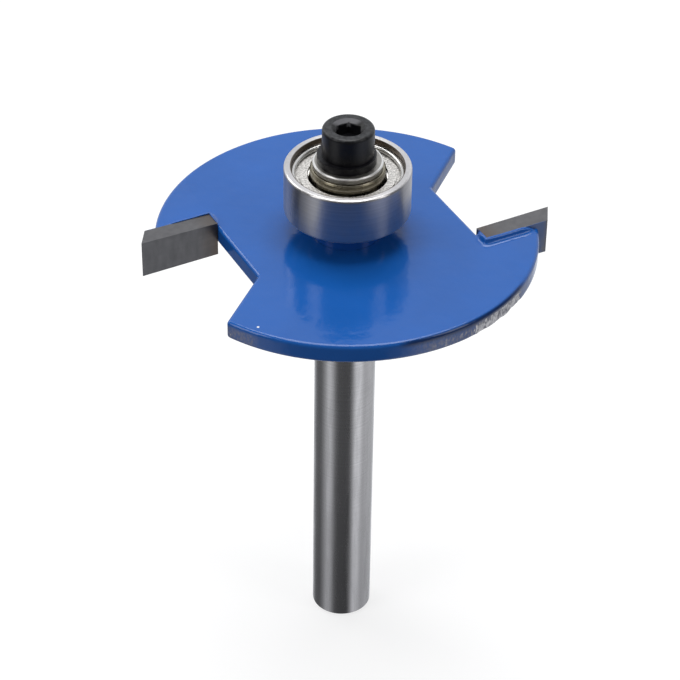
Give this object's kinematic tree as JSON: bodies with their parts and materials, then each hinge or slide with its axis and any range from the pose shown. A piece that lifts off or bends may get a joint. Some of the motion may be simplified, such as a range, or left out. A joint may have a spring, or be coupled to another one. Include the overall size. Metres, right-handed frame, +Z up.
{
  "type": "router bit",
  "caption": "Slot cutting router bit: a straight shank, a flat blue cutter disc with carbide tips in open gullets, and a shielded ball guide bearing under a cap screw.",
  "frame": {"origin": "centre of the shank's end face, where the bit stands", "axes": "+Z up the axis of rotation from the shank's end to the cap screw, +X out through the cutting corner of the first carbide tip; seen from +Z the bit cuts turning anticlockwise"},
  "size_m": [0.0412, 0.0384, 0.0621],
  "materials": {
    "arbor_steel": "centreless ground steel, painted blue on the hub and shoulder",
    "blue_paint": "gloss blue enamel on steel plate, thin and rough along the rim",
    "carbide": "ground tungsten carbide, dull grey",
    "bearing_steel": "ground and polished bearing steel",
    "ball_steel": "polished balls",
    "cage_steel": "stamped steel strip",
    "shield_steel": "matte pressed sheet steel",
    "spring_wire": "drawn spring wire",
    "zinc_plate": "zinc plated steel",
    "black_oxide": "black oxide on steel, satin"
  },
  "bodies": {
    "cutter": {"arbor": "arbor_steel", "cutter_disc": "blue_paint", "carbide_tip_1": "carbide", "carbide_tip_2": "carbide", "bearing_inner_ring": "bearing_steel", "flat_washer": "zinc_plate", "lock_washer": "black_oxide", "cap_screw": "black_oxide"},
    "guide_bearing": {"bearing_outer_ring": "bearing_steel", "shield_upper": "shield_steel", "shield_lower": "shield_steel", "snap_wire_upper": "spring_wire", "snap_wire_lower": "spring_wire"},
    "ball_cage": {"ball_cage_upper": "cage_steel", "ball_cage_lower": "cage_steel", "cage_rivets": "cage_steel", "ball_1": "ball_steel", "ball_2": "ball_steel", "ball_3": "ball_steel", "ball_4": "ball_steel", "ball_5": "ball_steel", "ball_6": "ball_steel", "ball_7": "ball_steel"}
  },
  "joints": [
    {"name": "guide_bearing_spin", "type": "hinge", "parent": "cutter", "child": "guide_bearing", "pos_m": [0, 0, 0.05514], "axis": [0, 0, 1], "continuous": true},
    {"name": "ball_cage_spin", "type": "hinge", "parent": "cutter", "child": "ball_cage", "pos_m": [0, 0, 0.05514], "axis": [0, 0, 1], "continuous": true}
  ],
  "couplings": [
    {"joint": "ball_cage_spin", "follows": "guide_bearing_spin", "ratio": 0.63636}
  ]
}
